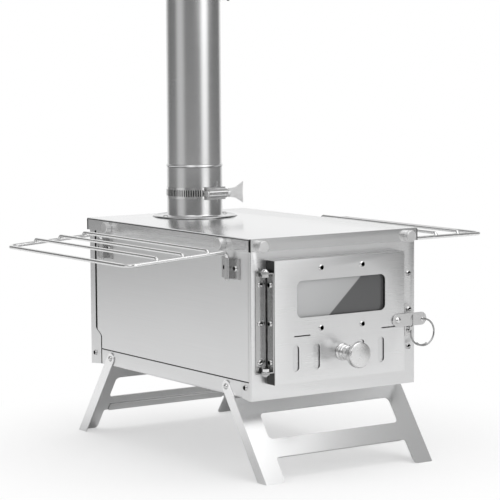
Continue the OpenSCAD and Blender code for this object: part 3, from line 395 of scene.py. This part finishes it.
def round_edges(mesh, edges, radius, segments):
    bmesh.ops.bevel(mesh, geom=edges, offset=radius, offset_type="OFFSET", segments=segments, profile=0.5,
                    affect="EDGES", clamp_overlap=True, material=-1)


def round_bends(mesh, chosen, radius):
    """Rounds the sharp edges whose two ends satisfy the test."""
    edges = [e for e in mesh.edges if len(e.link_faces) == 2 and e.calc_face_angle(0) > math.radians(50)
             and chosen(e.verts[0].co, e.verts[1].co)]
    round_edges(mesh, edges, radius, 4)


def on_corner(low, high, *planes):
    """A test for edges that lie on all the given outer planes, each an axis and a side."""
    def test(a, b):
        for axis, side in planes:
            level = high[axis] if side > 0 else low[axis]
            if abs(a[axis] - level) > 2e-5 or abs(b[axis] - level) > 2e-5:
                return False
        return True
    return test


def folded_sheet(node, body, slot, radius, *corners):
    """A sheet with its outer bends rounded."""
    mesh = cad_copy(node)
    low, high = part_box(node)
    for planes in corners:
        round_bends(mesh, on_corner(low, high, *planes), radius)
    return add_piece(node + "_folded", mesh, body, slot, [node])


X, Y, Z = 0, 1, 2
folded_sheet("top_plate", "firebox", "cooktop_steel", 1.6 * mm,
             ((Z, 1), (X, -1)), ((Z, 1), (X, 1)), ((Z, 1), (Y, -1)), ((Z, 1), (Y, 1)))
folded_sheet("front_panel", "firebox", "panel_steel", 1.3 * mm, ((Y, -1), (X, -1)), ((Y, -1), (X, 1)))
folded_sheet("rear_panel", "firebox", "panel_steel", 1.3 * mm, ((Y, 1), (X, -1)), ((Y, 1), (X, 1)))
folded_sheet("bottom_tray", "firebox", "body_steel", 1.3 * mm, ((Z, -1), (X, -1)), ((Z, -1), (X, 1)))
folded_sheet("door", "door", "door_steel", 1.4 * mm,
             ((Y, -1), (X, -1)), ((Y, -1), (X, 1)), ((Y, -1), (Z, -1)), ((Y, -1), (Z, 1)))


def break_edges(piece, width, angle):
    """Rounds every edge of a finished piece that is sharper than the angle."""
    bevel = piece.modifiers.new("broken_edges", "BEVEL")
    bevel.width = width
    bevel.segments = 2
    bevel.limit_method = "ANGLE"
    bevel.angle_limit = math.radians(angle)
    bevel.harden_normals = True


def eased(node, body, slot, width):
    """A small fitting with all its sharp edges broken."""
    piece = add_piece(node + "_eased", cad_copy(node), body, slot, [node])
    break_edges(piece, width, 40)


eased("latch_strap", "latch", "latch_steel", 0.3 * mm)
eased("latch_keeper", "firebox", "latch_steel", 0.25 * mm)
eased("hinge_panel_leaf", "firebox", "hinge_steel", 0.3 * mm)
eased("hinge_door_leaf", "door", "hinge_steel", 0.3 * mm)
eased("left_rack_clips", "firebox", "clip_steel", 0.3 * mm)
eased("right_rack_clips", "firebox", "clip_steel", 0.3 * mm)


def islands(node):
    """The lowest and highest corner of each loose piece of a CAD node."""
    mesh = bmesh.new()
    mesh.from_mesh(nodes[node].data)
    bmesh.ops.remove_doubles(mesh, verts=mesh.verts, dist=1e-6)
    left = set(mesh.verts)
    boxes = []
    while left:
        queue = [left.pop()]
        spots = []
        while queue:
            vert = queue.pop()
            spots.append(vert.co.copy())
            for edge in vert.link_edges:
                other = edge.other_vert(vert)
                if other in left:
                    left.discard(other)
                    queue.append(other)
        boxes.append((Vector(min(c[k] for c in spots) for k in range(3)),
                      Vector(max(c[k] for c in spots) for k in range(3))))
    mesh.free()
    return boxes


def turned(mesh, place, rings, segments, shape=None):
    """A closed turned form about Z: each ring is a radius and a height, from the foot up. The shape gives
    each ring's share of its radius at each corner."""
    start = bmesh.ops.create_circle(mesh, cap_ends=True, segments=segments, radius=1.0)["verts"]
    ring = sorted(start, key=lambda v: math.atan2(v.co.y, v.co.x))
    corners = [v.co.copy() for v in ring]

    def set_ring(verts, k):
        radius, height = rings[k]
        for i, vert in enumerate(verts):
            share = shape(k, i) if shape else 1.0
            vert.co = place @ Vector((corners[i].x * radius * share, corners[i].y * radius * share, height))

    cap = [f for f in ring[0].link_faces if all(v in f.verts for v in ring)][0]
    made = list(ring)
    set_ring(ring, 0)
    for k in range(1, len(rings)):
        grown = bmesh.ops.extrude_face_region(mesh, geom=[cap])["geom"]
        cap = [g for g in grown if isinstance(g, bmesh.types.BMFace)][0]
        place_of = {}
        for vert in cap.verts:
            nearest = min(range(segments), key=lambda i: (vert.co - made[i].co).length)
            place_of[nearest] = vert
        made = [place_of[i] for i in range(segments)]
        set_ring(made, k)
    return made


def out_of(node, low, high):
    """The way in which a screw's head points."""
    middle = (low + high) / 2
    if node in ("window_screws", "keeper_screws", "hinge_leaf_screws"):
        return Vector((0, -1, 0))
    if node == "door_leaf_screws":
        return Vector((-1, 0, 0))
    if node == "collar_screws":
        return Vector((0, 0, 1))
    ends = {-1: middle.y - fire_low.y, 1: fire_high.y - middle.y}
    end = min(ends, key=lambda k: abs(ends[k]))
    if abs(ends[end]) < 6 * mm:
        return Vector((0, end, 0))
    return Vector((math.copysign(1, middle.x), 0, 0))


def place_along(out, low, high):
    """A frame at the screw's tail, with Z along its axis."""
    middle = (low + high) / 2
    axis = max(range(3), key=lambda k: abs(out[k]))
    tail = middle.copy()
    tail[axis] = low[axis] if out[axis] > 0 else high[axis]
    return Matrix.Translation(tail) @ out.to_track_quat("Z", "Y").to_matrix().to_4x4(), high[axis] - low[axis]


head_r, head_h = 3.2 * mm, 2.2 * mm
shank_r, nut_r, nut_h = 2.0 * mm, 3.6 * mm, 2.6 * mm
dome_angles = (0, 11, 21, 31, 40)
recess_ring = 9
recess_shape = (1.0, 0.40, 0.36, 0.40)


def cross_recess(k, i):
    """A head's inner rings are crosses: full at the four arms, drawn in between them."""
    return recess_shape[i % 4] if k >= recess_ring else 1.0


def cross_screws(node, body, slot):
    """Domed screws, each with a cross recess in painted shade, a shank and a six-sided nut."""
    mesh = bmesh.new()
    for low, high in islands(node):
        place, length = place_along(out_of(node, low, high), low, high)
        seat = length - head_h
        dome = [(head_r * math.cos(math.radians(t)), seat + head_h * math.sin(math.radians(t)))
                for t in dome_angles]
        rings = [(head_r * 0.9, seat)] + dome + [(0.74 * head_r, seat + 0.71 * head_h),
                                                (0.71 * head_r, seat + 0.75 * head_h)]
        rings += [(0.69 * head_r, seat + 0.76 * head_h), (0.68 * head_r, seat + 0.76 * head_h),
                  (0.60 * head_r, seat + 0.20 * head_h)]
        old = set(mesh.faces)
        floor = set(turned(mesh, place, rings, 16, cross_recess))
        # The recess faces get the painted shade
        for face in set(mesh.faces) - old:
            if any(vert in floor for vert in face.verts):
                face.material_index = 1
        turned(mesh, place, [(shank_r, 0.2 * nut_h), (shank_r, seat + 0.1 * mm)], 16)
        turned(mesh, place, [(nut_r * 0.9, 0), (nut_r, 0.1 * nut_h), (nut_r, nut_h)], 6)
    add_piece(node + "_turned", mesh, body, slot, [node], 28, second=recess_shade)


for node, body in (("body_screws", "firebox"), ("hinge_leaf_screws", "firebox"), ("door_leaf_screws", "door"),
                   ("window_screws", "door"), ("keeper_screws", "firebox"), ("clip_screws", "firebox"),
                   ("collar_screws", "firebox")):
    cross_screws(node, body, "screw_steel")


def thumb_screws():
    """Broad flat heads with a fine knurl, on their screws and nuts."""
    mesh = bmesh.new()
    for low, high in islands("thumbscrews"):
        place, length = place_along(out_of("thumbscrews", low, high), low, high)
        seat = length - 7 * mm
        rings = [(4.8 * mm, seat), (5.5 * mm, seat), (6.0 * mm, seat + 0.6 * mm), (6.0 * mm, seat + 6.2 * mm),
                 (5.7 * mm, seat + 6.7 * mm), (5.3 * mm, seat + 7.0 * mm), (4.6 * mm, seat + 6.9 * mm)]
        turned(mesh, place, rings, 60, lambda k, i: 0.965 if k in (2, 3) and i % 2 else 1.0)
        turned(mesh, place, [(shank_r, 0.2 * nut_h), (shank_r, seat + 0.1 * mm)], 16)
        turned(mesh, place, [(3.2 * mm, 0), (nut_r, 0.1 * nut_h), (nut_r, nut_h)], 6)
    add_piece("thumbscrews_knurled", mesh, "firebox", "thumb_steel", ["thumbscrews"], 40)


thumb_screws()


def spun(name, profile, middle, body, slot, replaced, material=None):
    """A closed profile of radius and height, spun about an upright axis."""
    mesh = bmesh.new()
    verts = [mesh.verts.new((middle[0] + r, middle[1], z)) for r, z in profile]
    edges = [mesh.edges.new((verts[k - 1], verts[k])) for k in range(len(verts))]
    bmesh.ops.spin(mesh, geom=verts + edges, cent=(middle[0], middle[1], 0), axis=(0, 0, 1), dvec=(0, 0, 0),
                   angle=math.tau, steps=96, use_merge=True, use_duplicate=False)
    return add_piece(name, mesh, body, slot, replaced, material=material)


pipe_r, pipe_wall, slip_l, slip_r = 30 * mm, 0.6 * mm, 47 * mm, 29.2 * mm
bead_h, bead_out = 3.0 * mm, 1.1 * mm


def arc(middle, radius, start, end, steps):
    """Points of a round profile, as radius and height."""
    angles = [math.radians(start + (end - start) * k / steps) for k in range(steps + 1)]
    return [(middle[0] + radius * math.cos(a), middle[1] + radius * math.sin(a)) for a in angles]


def pipe_profile(low_z, high_z):
    """A plain section: its narrow slip end, the bead that stops it, and its straight wall."""
    foot = low_z + slip_l
    bead = arc((pipe_r - 0.4 * mm, foot + bead_h / 2), bead_h / 2, -68, 68, 10)
    return ([(slip_r - pipe_wall, low_z), (slip_r - 0.15 * mm, low_z), (slip_r, low_z + 0.4 * mm),
             (slip_r, foot), (pipe_r, foot)] + bead
            + [(pipe_r, foot + bead_h), (pipe_r, high_z - 0.1 * mm), (pipe_r - 0.1 * mm, high_z),
               (pipe_r - pipe_wall, high_z), (pipe_r - pipe_wall, foot + bead_h), (slip_r - pipe_wall, foot)])


for k in range(1, 7):
    node = "pipe_%d" % k
    low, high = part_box(node)
    spun(node + "_rolled", pipe_profile(low.z, high.z), flue, "chimney", "pipe_steel", [node])


def collar():
    """The flue collar, with a rolled rim and a round fillet up to its tube."""
    low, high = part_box("flue_collar")
    base, inner, outer, rim = low.z, 29.8 * mm, 30.6 * mm, 45.5 * mm
    profile = [(inner, base), (rim - 1.2 * mm, base)]
    profile += arc((rim - 1.0 * mm, base + 1.0 * mm), 1.0 * mm, -80, 120, 10)
    profile += [(rim - 2.4 * mm, base + 1.2 * mm), (rim - 3.4 * mm, base + 1.0 * mm),
                (outer + 3.4 * mm, base + 1.0 * mm)]
    profile += arc((outer + 3.0 * mm, base + 4.0 * mm), 3.0 * mm, -90, -180, 6)
    profile += [(outer, high.z - 0.2 * mm), (outer - 0.2 * mm, high.z), (inner, high.z)]
    spun("flue_collar_rolled", profile, flue, "firebox", "pipe_steel", ["flue_collar"], material=collar_steel)


collar()


def knob():
    """The air knob, turned, with rounded ridges."""
    piece = add_piece("air_knob_turned", cad_copy("air_knob"), "air_control", "knob_steel", ["air_knob"], 40)
    break_edges(piece, 0.35 * mm, 25)


knob()


def rounded_plate(mesh, low, high, radius):
    """A flat plate in X and Z with round corners, between two corners of its box."""
    made = bmesh.ops.create_cube(mesh, size=1.0)["verts"]
    size, middle = high - low, (low + high) / 2
    for vert in made:
        vert.co = Vector([middle[k] + vert.co[k] * size[k] for k in range(3)])
    edges = [e for e in mesh.edges if abs((e.verts[0].co - e.verts[1].co).normalized().y) > 0.9]
    round_edges(mesh, edges, radius, 6)


def window():
    """A thin pane at the back of its seat, and the rope seal that holds it off the door's sheet."""
    low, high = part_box("window_glass")
    corner_r, pane_t, seal_w, play = 4 * mm, 1.2 * mm, 3.5 * mm, 0.05 * mm
    mesh = bmesh.new()
    rounded_plate(mesh, Vector((low.x, high.y - pane_t, low.z)), high, corner_r)
    add_piece("window_pane", mesh, "door", "window_glass", ["window_glass"])
    mesh = bmesh.new()
    front = low.y + 0.02 * mm
    back = high.y - pane_t - play
    rounded_plate(mesh, Vector((low.x, front, low.z)), Vector((high.x, back, high.z)), corner_r)
    faces = [f for f in mesh.faces if abs(f.normal.y) > 0.9]
    bmesh.ops.inset_region(mesh, faces=faces, thickness=seal_w, use_even_offset=True, depth=0)
    caps = [f for f in faces if f.is_valid]
    rims = [list(f.edges) for f in caps]
    bmesh.ops.delete(mesh, geom=caps, context="FACES_ONLY")
    bmesh.ops.bridge_loops(mesh, edges=rims[0] + rims[1])
    add_piece("window_seal", mesh, "door", "window_glass", [], material=seal)


window()


# Studio

# The floor's tones: radius from the stove's middle where each starts and ends, and its two values. The near
# and far tones are a painted shadow near the stove and painted dimming far away, which only rays other than
# the camera's see.
near_painted_shadow = (0.10, 0.42, 0.62, 0.95)
far_painted_dimming = (0.9, 2.3, 1.0, 0.55)
glow_share = (0.18, 0.41, 0.45, 1.0)
paper_white = 0.95

# The room that metal sees. Heights are the sine of the elevation.
room_tone, soft_white = 0.22, 0.70
strip_top = (0.45, 0.85, 1.0, 0.0)
tall_strips = ((14, 1, 21, 1.30), (-92, 2, 25, 0.52), (147, 30, 50, 0.82))
low_ceiling, high_ceiling = (0.40, 0.80, 0.0, 0.20), (0.84, 0.97, 0.0, 0.6)
key_way, key_outer, key_inner, key_power = (-0.60, -0.52, 0.61), 21, 12, 1.4
lamp_aim = Vector((0, 0, 0.3))


def math_node(tree, kind, a, b=0.0):
    node = tree.nodes.new("ShaderNodeMath")
    node.operation = kind
    for socket, value in zip(node.inputs, (a, b)):
        if isinstance(value, (int, float)):
            socket.default_value = value
        else:
            tree.links.new(value, socket)
    return node.outputs["Value"]


def ramp(tree, value, start, end, low, high, smooth=True):
    node = tree.nodes.new("ShaderNodeMapRange")
    node.interpolation_type = "SMOOTHSTEP" if smooth else "LINEAR"
    node.inputs["From Min"].default_value = start
    node.inputs["From Max"].default_value = end
    node.inputs["To Min"].default_value = low
    node.inputs["To Max"].default_value = high
    tree.links.new(value, node.inputs["Value"])
    return node.outputs["Result"]


def studio_floor():
    """White paper: pure white away from the stove, with the stove's soft shadow on it near by. For rays other
    than the camera's its colour holds a painted shadow near the stove and painted dimming far away.
    """
    mesh = bmesh.new()
    bmesh.ops.create_circle(mesh, cap_ends=True, segments=96, radius=3.0)
    data = bpy.data.meshes.new("studio_floor")
    mesh.to_mesh(data)
    mesh.free()
    floor = bpy.data.objects.new("studio_floor", data)
    bpy.context.collection.objects.link(floor)
    material = bpy.data.materials.new("studio_floor")
    material.use_nodes = True
    tree = material.node_tree
    tree.nodes.clear()
    out = tree.nodes.new("ShaderNodeOutputMaterial")
    paper = tree.nodes.new("ShaderNodeBsdfDiffuse")
    glow = tree.nodes.new("ShaderNodeEmission")
    glow.inputs["Color"].default_value = (1.0, 1.0, 1.0, 1.0)
    mix = tree.nodes.new("ShaderNodeMixShader")
    place = tree.nodes.new("ShaderNodeTexCoord")
    length = tree.nodes.new("ShaderNodeVectorMath")
    length.operation = "LENGTH"
    tree.links.new(place.outputs["Object"], length.inputs[0])
    away = length.outputs["Value"]
    seen = tree.nodes.new("ShaderNodeLightPath").outputs["Is Camera Ray"]
    near = ramp(tree, away, *near_painted_shadow)
    far = ramp(tree, away, *far_painted_dimming, smooth=False)
    unseen = math_node(tree, "SUBTRACT", 1.0, seen)
    # Painted shadow near the stove and painted dimming far away, for rays other than the camera's
    reflected = math_node(tree, "MULTIPLY", math_node(tree, "MULTIPLY", near, far), unseen)
    tone = math_node(tree, "ADD", reflected, math_node(tree, "MULTIPLY", seen, paper_white))
    tree.links.new(tone, paper.inputs["Color"])
    share = math_node(tree, "MULTIPLY", ramp(tree, away, *glow_share), seen)
    tree.links.new(share, mix.inputs["Fac"])
    tree.links.new(paper.outputs["BSDF"], mix.inputs[1])
    tree.links.new(glow.outputs["Emission"], mix.inputs[2])
    tree.links.new(mix.outputs["Shader"], out.inputs["Surface"])
    data.materials.append(material)


def studio_world():
    """A pale dome for soft light. Metal sees a gray room with two tall soft strips, a bright wall behind
    the stove and a pale ceiling."""
    world = bpy.data.worlds.new("studio")
    bpy.context.scene.world = world
    world.use_nodes = True
    tree = world.node_tree
    tree.nodes.clear()
    out = tree.nodes.new("ShaderNodeOutputWorld")
    sky = tree.nodes.new("ShaderNodeBackground")
    place = tree.nodes.new("ShaderNodeTexCoord").outputs["Generated"]
    ray = tree.nodes.new("ShaderNodeLightPath")
    axes = tree.nodes.new("ShaderNodeSeparateXYZ")
    tree.links.new(place, axes.inputs["Vector"])
    flat = tree.nodes.new("ShaderNodeVectorMath")
    flat.operation = "MULTIPLY"
    flat.inputs[1].default_value = (1, 1, 0)
    tree.links.new(place, flat.inputs[0])
    level = tree.nodes.new("ShaderNodeVectorMath")
    level.operation = "NORMALIZE"
    tree.links.new(flat.outputs["Vector"], level.inputs[0])

    def strip(azimuth, inner, outer, height):
        """A tall soft strip about one azimuth: full inside the inner angle, gone outside the outer one."""
        a = math.radians(azimuth)
        edge, full = math.cos(math.radians(outer)), math.cos(math.radians(inner))
        dot = tree.nodes.new("ShaderNodeVectorMath")
        dot.operation = "DOT_PRODUCT"
        dot.inputs[1].default_value = (math.sin(a), -math.cos(a), 0)
        tree.links.new(level.outputs["Vector"], dot.inputs[0])
        return ramp(tree, dot.outputs["Value"], edge, full, 0.0, height)

    def add(a, b):
        return math_node(tree, "ADD", a, b)

    def times(a, b):
        return math_node(tree, "MULTIPLY", a, b)

    up = axes.outputs["Z"]
    first, second, third = [strip(*values) for values in tall_strips]
    strips = times(add(add(first, second), third), ramp(tree, up, *strip_top))
    ceiling = add(ramp(tree, up, *low_ceiling), ramp(tree, up, *high_ceiling))
    key = tree.nodes.new("ShaderNodeVectorMath")
    key.operation = "DOT_PRODUCT"
    key.inputs[1].default_value = key_way
    tree.links.new(place, key.inputs[0])
    edge, full = math.cos(math.radians(key_outer)), math.cos(math.radians(key_inner))
    spot = ramp(tree, key.outputs["Value"], edge, full, 0.0, key_power)
    metal_view = add(add(add(strips, ceiling), room_tone), spot)
    glossy = ray.outputs["Is Glossy Ray"]
    white = math_node(tree, "MAXIMUM", ray.outputs["Is Camera Ray"], soft_white)
    strength = add(times(metal_view, glossy), times(white, math_node(tree, "SUBTRACT", 1.0, glossy)))
    sky.inputs["Color"].default_value = (1.0, 1.0, 1.0, 1.0)
    tree.links.new(strength, sky.inputs["Strength"])
    tree.links.new(sky.outputs["Background"], out.inputs["Surface"])


def area_lamp(name, size, power):
    lamp = bpy.data.lights.new(name, "AREA")
    lamp.shape = "RECTANGLE"
    lamp.size, lamp.size_y = size
    lamp.energy = power
    holder = bpy.data.objects.new(name, lamp)
    bpy.context.collection.objects.link(holder)
    return holder


def softbox(name, azimuth, distance, height, size, power):
    """A large soft lamp that looks at the stove and isn't seen in its metal."""
    holder = area_lamp(name, size, power)
    a = math.radians(azimuth)
    spot = Vector((math.sin(a) * distance, -math.cos(a) * distance, height))
    back = (spot - lamp_aim).normalized()
    holder.visible_glossy = False
    holder.matrix_world = Matrix.Translation(spot) @ back.to_track_quat("Z", "Y").to_matrix().to_4x4()


def reflector(name, spot, size, power):
    """A level card that only metal sees, from below."""
    holder = area_lamp(name, size, power)
    holder.visible_diffuse = False
    holder.visible_camera = False
    holder.location = spot


def studio_camera():
    """The photograph's viewpoint, from the firebox's edges."""
    azimuth, tilt, roll = math.radians(-34.1), math.radians(5.8), math.radians(-0.364)
    back = Vector((math.sin(azimuth) * math.cos(tilt), -math.cos(azimuth) * math.cos(tilt), math.sin(tilt)))
    right = Vector((math.cos(azimuth), math.sin(azimuth), 0))
    up = back.cross(right)
    turned_right = right * math.cos(roll) + up * math.sin(roll)
    turned_up = up * math.cos(roll) - right * math.sin(roll)
    data = bpy.data.cameras.new("photo_view")
    data.sensor_width = 36.0
    data.lens = 155.3
    data.clip_end = 30.0
    camera = bpy.data.objects.new("photo_view", data)
    bpy.context.collection.objects.link(camera)
    turn = Matrix((turned_right, turned_up, back)).transposed().to_4x4()
    camera.matrix_world = Matrix.Translation((-1.2863, -1.8969, 0.4450)) @ turn
    bpy.context.scene.camera = camera


studio_camera()
studio_floor()
studio_world()
softbox("right_softbox", 2, 2.6, 1.1, (1.3, 2.4), 16)
softbox("left_softbox", -111, 2.8, 1.2, (1.5, 2.2), 9)
softbox("overhead_softbox", 60, 0.5, 3.4, (1.8, 1.8), 26)
reflector("leg_reflector", (0.10, -0.34, 0.50), (0.50, 0.46), 0.70)
bpy.context.scene.view_settings.view_transform = "Standard"
